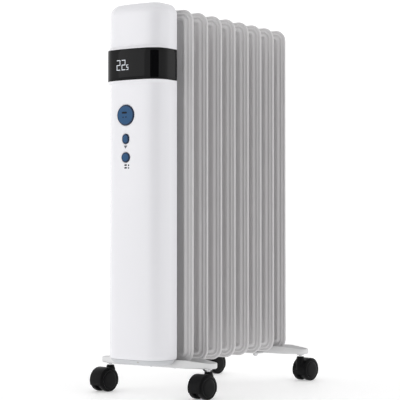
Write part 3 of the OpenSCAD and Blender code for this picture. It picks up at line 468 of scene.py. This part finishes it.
def edge_inset(z):
    """How far the rounded top and bottom edges draw the outline in at a height."""
    if z > tower_top_z - top_edge_r:
        u = z - (tower_top_z - top_edge_r)
        return top_edge_r - sqrt(max(top_edge_r ** 2 - u * u, 0))
    if z < tower_base_z + bottom_edge_r:
        u = tower_base_z + bottom_edge_r - z
        return bottom_edge_r - sqrt(max(bottom_edge_r ** 2 - u * u, 0))
    return 0


def tower_ring(z, inset=0, bezel=0, back_y=None):
    """Outline at a height. bezel runs from 0, the tower's own plan, to 1, the window's."""
    front = tower_front_y + bezel * (window_front_y - tower_front_y)
    corner = tower_corner_r + bezel * (window_corner_r - tower_corner_r)
    back = tower_back_y if back_y is None else back_y
    return [Vector((x, y, z)) for x, y in plan(front, corner, inset + edge_inset(z), back)]


def smooth_step(t):
    return t * t * (3 - 2 * t)


def arc_heights(low, high, radius, rising, steps=12):
    """Heights along a quarter round, closest together where it turns over."""
    angles = [pi / 2 * i / steps for i in range(steps + 1)]
    if rising:
        return [high - radius + radius * sin(a) for a in angles]
    return [low + radius - radius * cos(a) for a in angles]


def tower_shell():
    """The front housing: an outer skin with a bezel, hollowed from behind."""
    window_low_z, window_top_z = window_low.z, window_high.z
    levels = []
    bottom = [z for z in arc_heights(tower_base_z, 0, bottom_edge_r, False, 20) if z > joint_z + 0.4]
    levels += [(joint_z, 0.35, 0), (joint_z + 0.3, 0.05, 0)] + [(z, 0, 0) for z in bottom]
    low_flare = window_low_z - bezel_reach
    for i in range(1, 44):
        levels.append((tower_base_z + bottom_edge_r
                       + (low_flare - tower_base_z - bottom_edge_r) * i / 43, 0, 0))
    steps = 9
    for i in range(1, steps + 1):
        t = i / steps
        levels.append((low_flare + (bezel_reach - 0.8) * t, 0, smooth_step(t)))
    levels += [(window_low_z - 0.3, 0.15, 1), (window_low_z - 0.15, 0.5, 1),
               (window_low_z - 0.1, 2.6, 1), (window_top_z + 0.1, 2.6, 1),
               (window_top_z + 0.15, 0.5, 1), (window_top_z + 0.3, 0.15, 1)]
    for i in range(steps, 0, -1):
        t = i / steps
        levels.append((window_top_z + bezel_reach - (bezel_reach - 0.8) * t, 0, smooth_step(t)))
    upper = window_top_z + bezel_reach
    for i in range(0, 8):
        levels.append((upper + (tower_top_z - top_edge_r - upper) * i / 8, 0, 0))
    levels += [(z, 0, 0) for z in arc_heights(0, tower_top_z, top_edge_r, True, 18)]
    bm = skin(bmesh.new(), [tower_ring(z, inset, bezel) for z, inset, bezel in levels])
    shell = piece("tower_housing", bm, "heater", tower_white, ["tower_front"])

    hollow = []
    for z in [joint_z - 3, joint_z + 4, joint_z + 8] + [joint_z + 20 + 20 * i for i in range(25)]:
        hollow.append(tower_ring(z, wall, 0, tower_back_y + 4))
    for z in arc_heights(0, tower_top_z, top_edge_r, True, 10)[:-3]:
        hollow.append(tower_ring(z - 0.5, wall, 0, tower_back_y + 4))
    boolean(shell, skin(bmesh.new(), hollow))
    return shell


# ------------------------------------------------------------------ buttons

control_x = middle_mm("main_button").x
# Each button's radius, and half the length of its straight sides
buttons = {"main_button": (16.2, 0), "net_button": (6.25, 15.6 / 2 - 6.25), "mode_button": (7.8, 0)}
button_gap = 0.25


def front_face_y(x):
    """The tower's front at a distance from its middle plane."""
    return tower_front_y + bow_r - sqrt(bow_r ** 2 - x * x)


def slot_ring(radius, stretch, y, z, steps=48):
    """A circle, or an upright oval with straight sides, round a button's middle."""
    points = []
    for i in range(steps):
        a = 2 * pi * i / steps
        lift = stretch if sin(a) > 0 else -stretch
        if abs(sin(a)) < 1e-9:
            lift = 0
        points.append(Vector((control_x + radius * cos(a), y, z + radius * sin(a) + lift)))
    return points


def button_hole(name):
    """The cutter for a button's hole, with a soft flare at its mouth."""
    radius, stretch = buttons[name]
    z = middle_mm(name).z
    face = front_face_y(control_x)
    gap = button_gap
    profile = [(radius + gap, face + 9), (radius + gap, face + 1.3), (radius + gap + 0.35, face + 0.7),
               (radius + gap + 0.9, face + 0.2), (radius + gap + 1.9, face - 0.12),
               (radius + gap + 4, face - 0.5), (radius + gap + 4, face - 3)]
    return skin(bmesh.new(), [slot_ring(r, stretch, y, z) for r, y in profile])


def button_cap(name):
    """A cap with a soft edge, a dark rim and a faintly crowned face."""
    radius, stretch = buttons[name]
    z = middle_mm(name).z
    face = box_mm(name)[0].y
    rings = [(radius, face + 5), (radius, face + 1.2), (radius - 0.2, face + 0.6),
             (radius - 0.7, face + 0.22), (radius - 1.4, face + 0.12), (radius - 1.9, face + 0.3),
             (radius - 2.4, face + 0.3), (radius - 3, face + 0.22), (radius * 0.6, face + 0.17),
             (radius * 0.3, face + 0.14), (0.05, face + 0.13)]
    bm = skin(bmesh.new(), [slot_ring(max(r, 0.05), stretch, y, z) for r, y in rings])
    cap = piece(f"{name}_cap", bm, name, button_blue, [name], sharp=40)
    cap.data.materials.append(button_rim)
    for face_of in cap.data.polygons:
        away = Vector((face_of.center.x / MM - control_x, 0, face_of.center.z / MM - z))
        away.z = max(abs(away.z) - stretch, 0)
        if away.length > radius - 2.1:
            face_of.material_index = 1
    return cap


shell = tower_shell()
for name in buttons:
    boolean(shell, button_hole(name))
    button_cap(name)


def print_mark(bm, outline, face, thick=0.1):
    """A flat printed mark: an outline of (x, z) points, laid on a face given by its depth."""
    rings = [[(x, face(x) - thick, z) for x, z in outline],
             [(x, face(x) + 0.25, z) for x, z in outline]]
    skin(bm, rings)


def round_outline(x, z, radius, steps=20):
    """A dot."""
    return [(x + radius * cos(2 * pi * i / steps), z + radius * sin(2 * pi * i / steps))
            for i in range(steps)]


def bar_outline(x, z, width, height, radius):
    """A rectangle with round corners."""
    points = []
    for quarter in range(4):
        sx = (1, -1, -1, 1)[quarter]
        sz = (1, 1, -1, -1)[quarter]
        for i in range(5):
            a = (quarter + i / 4) * pi / 2
            points.append((x + sx * (width / 2 - radius) + radius * cos(a),
                           z + sz * (height / 2 - radius) + radius * sin(a)))
    return points


def main_face_y(x):
    """Depth of the large button's face, which is nearly flat."""
    return box_mm("main_button")[0].y + 0.12


main_z = middle_mm("main_button").z
main_marks = bmesh.new()
print_mark(main_marks, bar_outline(control_x - 1.6, main_z + 3.9, 10, 3, 1.2), main_face_y)
for mark_x, mark_z in ((-4, -3.4), (1.6, -3.2)):
    print_mark(main_marks, round_outline(control_x + mark_x, main_z + mark_z, 1.1), main_face_y)
piece("main_button_marks", main_marks, "main_button", icon_dark)

housing_marks = bmesh.new()
wedge_z = box_mm("net_button")[0].z - 3.9
wedge = [(control_x - 3.6, wedge_z + 2.2), (control_x + 3.6, wedge_z + 2.2),
         (control_x + 0.4, wedge_z - 2.4), (control_x - 0.4, wedge_z - 2.4)]
print_mark(housing_marks, wedge, front_face_y)
mode_low_z = box_mm("mode_button")[0].z
piece("housing_wedge", housing_marks, "heater", icon_grey)
mode_marks = bmesh.new()
for mark_z in (mode_low_z - 3.3, mode_low_z - 7.6):
    print_mark(mode_marks, bar_outline(control_x + 0.2, mark_z, 5, 2.4, 0.6), front_face_y)
    print_mark(mode_marks, round_outline(control_x + 6, mark_z - 0.3, 1.3), front_face_y)
piece("mode_marks", mode_marks, "heater", icon_dark)
shell.data.shade_smooth()
shell.data.set_sharp_from_angle(angle=radians(32))


# ------------------------------------------------------------------ window, digits, base


def window_band():
    """The dark window: a bowed band with softly rounded upper and lower edges."""
    low_z, top_z = window_low.z, window_high.z
    edge = 0.7
    outer = [(low_z, edge), (low_z + edge * 0.3, edge * 0.3), (low_z + edge, 0)]
    outer += [(low_z + (top_z - low_z) * i / 6, 0) for i in range(1, 6)]
    outer += [(top_z - edge, 0), (top_z - edge * 0.3, edge * 0.3), (top_z, edge)]
    rings = [tower_ring(z, inset, 1) for z, inset in outer]
    bm = skin(bmesh.new(), rings)
    band = piece("window_band", bm, "heater", window_black, ["display_window"])
    hollow = [tower_ring(z, 2.4, 1, tower_back_y + 4) for z in (low_z - 3, top_z + 3)]
    boolean(band, skin(bmesh.new(), hollow))
    band.data.shade_smooth()
    band.data.set_sharp_from_angle(angle=radians(35))
    return band


window_band()


def window_face_y(x):
    return window_front_y + bow_r - sqrt(bow_r ** 2 - x * x)


def lit_bar(bm, x0, z0, x1, z1):
    """One bar of a figure, lying on the window's bowed face."""
    rings = []
    columns = 4
    for i in range(columns + 1):
        x = x0 + (x1 - x0) * i / columns
        y = window_face_y(x)
        rings.append([(x, y - 0.04, z0), (x, y - 0.04, z1), (x, y + 0.3, z1), (x, y + 0.3, z0)])
    skin(bm, rings)


# Which bars of a figure are lit: top, upper left, upper right, middle, lower left,
# lower right, bottom
figures = {"2": (1, 0, 1, 1, 1, 0, 1), "5": (1, 1, 0, 1, 0, 1, 1)}


def figure(bm, shape, left, low, width, height, bar):
    half = height / 2
    spots = [
        (0, height - bar, width, height),
        (0, half - bar / 2, bar, height),
        (width - bar, half - bar / 2, width, height),
        (0, half - bar / 2, width, half + bar / 2),
        (0, 0, bar, half + bar / 2),
        (width - bar, 0, width, half + bar / 2),
        (0, 0, width, bar),
    ]
    for lit, (x0, z0, x1, z1) in zip(figures[shape], spots):
        if lit:
            lit_bar(bm, left + x0, low + z0, left + x1, low + z1)


digit_h = 16.2
digit_w = 7.4
digit_gap = 3
digit_low = (window_low.z + window_high.z) / 2 - digit_h / 2 - 0.6
digit_left = control_x - 15.6
digit_pitch = digit_w + digit_gap
digits = bmesh.new()
figure(digits, "2", digit_left, digit_low, digit_w, digit_h, 1)
figure(digits, "2", digit_left + digit_pitch, digit_low, digit_w, digit_h, 1)
figure(digits, "5", digit_left + 2 * digit_pitch - 0.9, digit_low, 3.8, 8.2, 0.8)
piece("window_digits", digits, "heater", digit_light, ["display_digits"])


bush_r = 7


def base_cap():
    """The cap below the housing, with a rounded lower edge and a bush for the lead."""
    heights = [z for z in arc_heights(tower_base_z, 0, bottom_edge_r, False, 20) if z < joint_z - 0.8]
    levels = [(z, 0.4) for z in heights] + [(joint_z - 0.5, 0.45), (joint_z - 0.3, 0.8)]
    bm = skin(bmesh.new(), [tower_ring(z, inset, 0, tower_back_y - 2.6) for z, inset in levels])
    # The cap's grey colour is painted shade for the underside of the rounded lower edge.
    cap = piece("base_cap", bm, "heater", base_grey, ["tower_base"])
    gland = middle_mm("cable_gland")
    bush_hole = [(bush_r + 0.05, tower_base_z - 2), (bush_r + 0.05, tower_base_z + 30)]
    boolean(cap, turned(bush_hole, 48, "Z", (gland.x, gland.y, 0)))
    cap.data.shade_smooth()
    cap.data.set_sharp_from_angle(angle=radians(35))
    return cap


base_cap()


# ------------------------------------------------------------------ feet

foot_tip_r = 14
foot_shoulder_x = 70
foot_lip_h = 13.5
foot_tip_h = 9
foot_t = 2


def foot_plan(front, back, stem_y, stem_x, inset):
    """A foot's outline: round tips joined by tapering and straight edges."""
    radius = foot_tip_r - inset
    low, high = front + inset, back - inset
    points = []
    tip_steps = 14

    def touch(point_x, point_y, turn):
        dx, dy = point_x - stem_x, point_y - stem_y
        return atan2(dy, dx) + turn * acos(radius / sqrt(dx * dx + dy * dy))

    start = touch(foot_shoulder_x, low, 1)
    end = touch(foot_shoulder_x, high, -1)
    if end < start:
        end += 2 * pi
    right = [(20, low), (45, low), (foot_shoulder_x, low)]
    for i in range(tip_steps + 1):
        a = start + (end - start) * i / tip_steps
        right.append((stem_x + radius * cos(a), stem_y + radius * sin(a)))
    right += [(foot_shoulder_x, high), (45, high), (20, high)]
    left = [(-x, y) for x, y in reversed(right)]
    return right + left


def lip_height(x):
    """Height of a foot's lip above its underside."""
    tip_x = box_mm("front_foot")[1].x
    t = max(abs(x) - foot_shoulder_x, 0) / (tip_x - foot_shoulder_x)
    return foot_lip_h + (foot_tip_h - foot_lip_h) * smooth_step(min(t, 1))


def foot_piece(node, name, stem_y, front, back, fin_y, bolt_y):
    low, high = box_mm(node)
    stem_x = high.x - foot_tip_r
    bottom = low.z
    floor = bottom + foot_t
    levels = [(3.2, bottom, 0), (1.5, bottom + 0.25, 0), (0.5, bottom + 1, 0), (0, bottom + 2.4, 0),
              (0, -0.6, 1), (0.35, 0, 1), (0.9, 0.2, 1), (1.5, 0, 1), (1.9, -0.6, 1),
              (2, floor + 2.2, 0), (2.5, floor + 0.8, 0), (3.4, floor + 0.15, 0), (5, floor, 0)]
    rings = []
    for inset, height, on_lip in levels:
        ring = []
        for x, y in foot_plan(front, back, stem_y, stem_x, inset):
            z = bottom + lip_height(x) - 0.2 + height if on_lip else height
            ring.append(Vector((x, y, z)))
        rings.append(ring)
    bm = skin(bmesh.new(), rings)
    for side in (-1, 1):
        block(bm, (side * 38 - 12, fin_y - 7, floor - 0.5), (side * 38 + 12, fin_y + 7, fin_low.z - 0.02))
    if bolt_y < front:
        reach = 30 + 5
        block(bm, (-reach, bolt_y - 8, bottom), (reach, front + 4, bottom + foot_t))
    return piece(name, bm, "heater", foot_paint, [node], sharp=40)


front_low, front_high = box_mm("front_foot")
rear_back_y = box_mm("rear_foot")[1].y
front_bolt_y = first_fin_y + fin_pitch / 2
rear_bolt_y = last_fin_y - fin_pitch / 2
front_stem_y = first_fin_y + 7.5
rear_stem_y = last_fin_y + 10.5
foot_piece("front_foot", "front_foot_pressing", front_stem_y, front_low.y, front_high.y,
           first_fin_y, front_bolt_y)
foot_piece("rear_foot", "rear_foot_pressing", rear_stem_y, last_fin_y - 13, rear_back_y,
           last_fin_y, rear_bolt_y)


# ------------------------------------------------------------------ castors

wheel_r = 19
castor_trail = 14.5
hood_r = 21
hood_half_w = 13.5
web_half = 5
hood_edge_z = 11
neck_r = 6.5
neck_z = 42.8
castor_turn = -radians(9)
stem_x = front_high.x - foot_tip_r


def on_castor(bm, side, end):
    """Moves a bmesh from the castor's own place to its stem."""
    y = front_stem_y if end == "front" else rear_stem_y
    turn = castor_turn + (0 if end == "front" else pi)
    x = stem_x if side == "right" else -stem_x
    bmesh.ops.transform(bm, verts=bm.verts,
                        matrix=Matrix.Translation((x, y, 0)) @ Matrix.Rotation(turn, 4, "Z"))
    return bm


def along_axle(profile, steps=64):
    return turned(profile, steps, "X", (0, -castor_trail, wheel_r))


def hood_piece(side, end):
    """The hood: a rounded drum over both wheels, a web between them and a neck."""
    body = f"castor_{end}_{side}"
    drum = [(hood_r - 1.6, -hood_half_w), (hood_r - 0.7, -hood_half_w + 0.25),
            (hood_r - 0.2, -hood_half_w + 0.8), (hood_r, -hood_half_w + 1.8),
            (hood_r, hood_half_w - 1.8), (hood_r - 0.2, hood_half_w - 0.8),
            (hood_r - 0.7, hood_half_w - 0.25), (hood_r - 1.6, hood_half_w)]
    bm = on_castor(along_axle(drum, 96), side, end)
    hood = piece(f"hood_{end}_{side}_moulding", bm, body, castor_black,
                 [f"hood_{end}_{side}"])
    below = block(bmesh.new(), (-40, -castor_trail - 50, -20), (40, -castor_trail + 50, hood_edge_z))
    boolean(hood, on_castor(below, side, end))
    neck = turned([(neck_r + 1.5, wheel_r), (neck_r + 1.5, neck_z - 6), (neck_r + 0.4, neck_z - 3.5),
                   (neck_r, neck_z - 2.5), (neck_r, neck_z - 0.6), (neck_r - 0.6, neck_z)], 48, "Z")
    boolean(hood, on_castor(neck, side, end), "UNION")
    for way in (-1, 1):
        well = [(wheel_r + 0.6, way * web_half), (wheel_r + 0.6, way * (hood_half_w + 4))]
        boolean(hood, on_castor(along_axle(well, 96), side, end))
    web = [(wheel_r - 4.5, -web_half + 0.1), (wheel_r - 4, -web_half + 0.6),
           (wheel_r - 4, web_half - 0.6), (wheel_r - 4.5, web_half - 0.1)]
    boolean(hood, on_castor(along_axle(web, 64), side, end), "UNION")
    boolean(hood, on_castor(turned([(3.05, 15), (3.05, 60)], 32, "Z"), side, end))
    soften(hood, 0.35)
    return hood


def wheel_piece(side, end, place, toward):
    """A wheel with a rounded tread, a groove round its face and a domed cap."""
    body = f"wheel_{end}_{side}_{place}"
    inner = web_half + 0.5
    face = inner + 9.5
    profile = [(4, inner), (wheel_r - 1.4, inner), (wheel_r - 0.4, inner + 0.35), (wheel_r, inner + 1.2),
               (wheel_r, face - 2.6), (wheel_r - 0.35, face - 1.3), (wheel_r - 1.2, face - 0.45),
               (wheel_r - 2.4, face), (wheel_r - 3.6, face), (wheel_r - 4.1, face - 0.5),
               (wheel_r - 4.6, face - 0.5), (wheel_r - 5.1, face), (wheel_r - 7, face + 0.55),
               (wheel_r - 10, face + 0.85), (wheel_r - 14, face + 0.98), (0, face + 1)]
    bm = along_axle([(r, toward * x) for r, x in profile], 72)
    return piece(f"{body}_moulding", on_castor(bm, side, end), body, wheel_black,
                 [body], sharp=40)


for end in ("front", "rear"):
    for side in ("left", "right"):
        hood_piece(side, end)
        outward = (1 if side == "right" else -1) * (1 if end == "front" else -1)
        wheel_piece(side, end, "outer", outward)
        wheel_piece(side, end, "inner", -outward)


# ------------------------------------------------------------------ studio

floor_mesh = bmesh.new()
block(floor_mesh, (-9000, -9000, -20), (9000, 9000, -0.05))
floor_white = material("floor_white", (0.9, 0.9, 0.9), 0.6, 0.02, 6, mottle=0.004, glow=0.34)
floor = piece("floor", floor_mesh, None, floor_white)

world = bpy.data.worlds.new("studio")
bpy.context.scene.world = world
world.use_nodes = True
backdrop = world.node_tree.nodes["Background"]
backdrop.inputs["Color"].default_value = (1, 1, 1, 1)
way = world.node_tree.nodes.new("ShaderNodeTexCoord")
split = world.node_tree.nodes.new("ShaderNodeSeparateXYZ")
fade = world.node_tree.nodes.new("ShaderNodeMapRange")
fade.inputs["From Min"].default_value = 0.15
fade.inputs["From Max"].default_value = 0.85
fade.inputs["To Min"].default_value = 1.22
fade.inputs["To Max"].default_value = 0.6
world.node_tree.links.new(way.outputs["Object"], split.inputs["Vector"])
world.node_tree.links.new(split.outputs["Z"], fade.inputs["Value"])
world.node_tree.links.new(fade.outputs["Result"], backdrop.inputs["Strength"])


def softbox(name, place, aim, width, height, power):
    """A soft area light, in metres and watts."""
    lamp = bpy.data.lights.new(name, "AREA")
    lamp.shape = "RECTANGLE"
    lamp.size = width
    lamp.size_y = height
    lamp.energy = power
    obj = bpy.data.objects.new(name, lamp)
    bpy.context.scene.collection.objects.link(obj)
    obj.location = place
    obj.rotation_euler = (Vector(aim) - Vector(place)).to_track_quat("-Z", "Y").to_euler()
    return obj


softbox("left_box", (-1.6, -2.6, 1.4), (0, 0, 0.3), 1.6, 2.2, 8)
softbox("top_box", (0.2, 0.2, 3.2), (0, 0, 0.3), 2.4, 2.4, 3)

# A black card behind the camera. It shows only as the dark bar in glossy surfaces.
card_mesh = bmesh.new()
block(card_mesh, (-1300, -10, 20), (1300, 10, 1500), radians(37), (1560, -2090, 0))
card_black = material("card_black", (0.01, 0.01, 0.01), 0.9, 0.02, 5)
card = piece("card", card_mesh, None, card_black)
card.visible_camera = False
card.visible_shadow = False

camera_data = bpy.data.cameras.new("camera")
camera = bpy.data.objects.new("camera", camera_data)
bpy.context.scene.collection.objects.link(camera)
bpy.context.scene.camera = camera
camera_data.sensor_width = 36
camera_data.lens = 123.5
camera.location = (1.2946, -1.9548, 0.2802)
view_turn = radians(33.553)
tilt_up = radians(0.93)
camera.rotation_euler = (pi / 2 + tilt_up, 0, view_turn)

bpy.context.scene.view_settings.view_transform = "Standard"
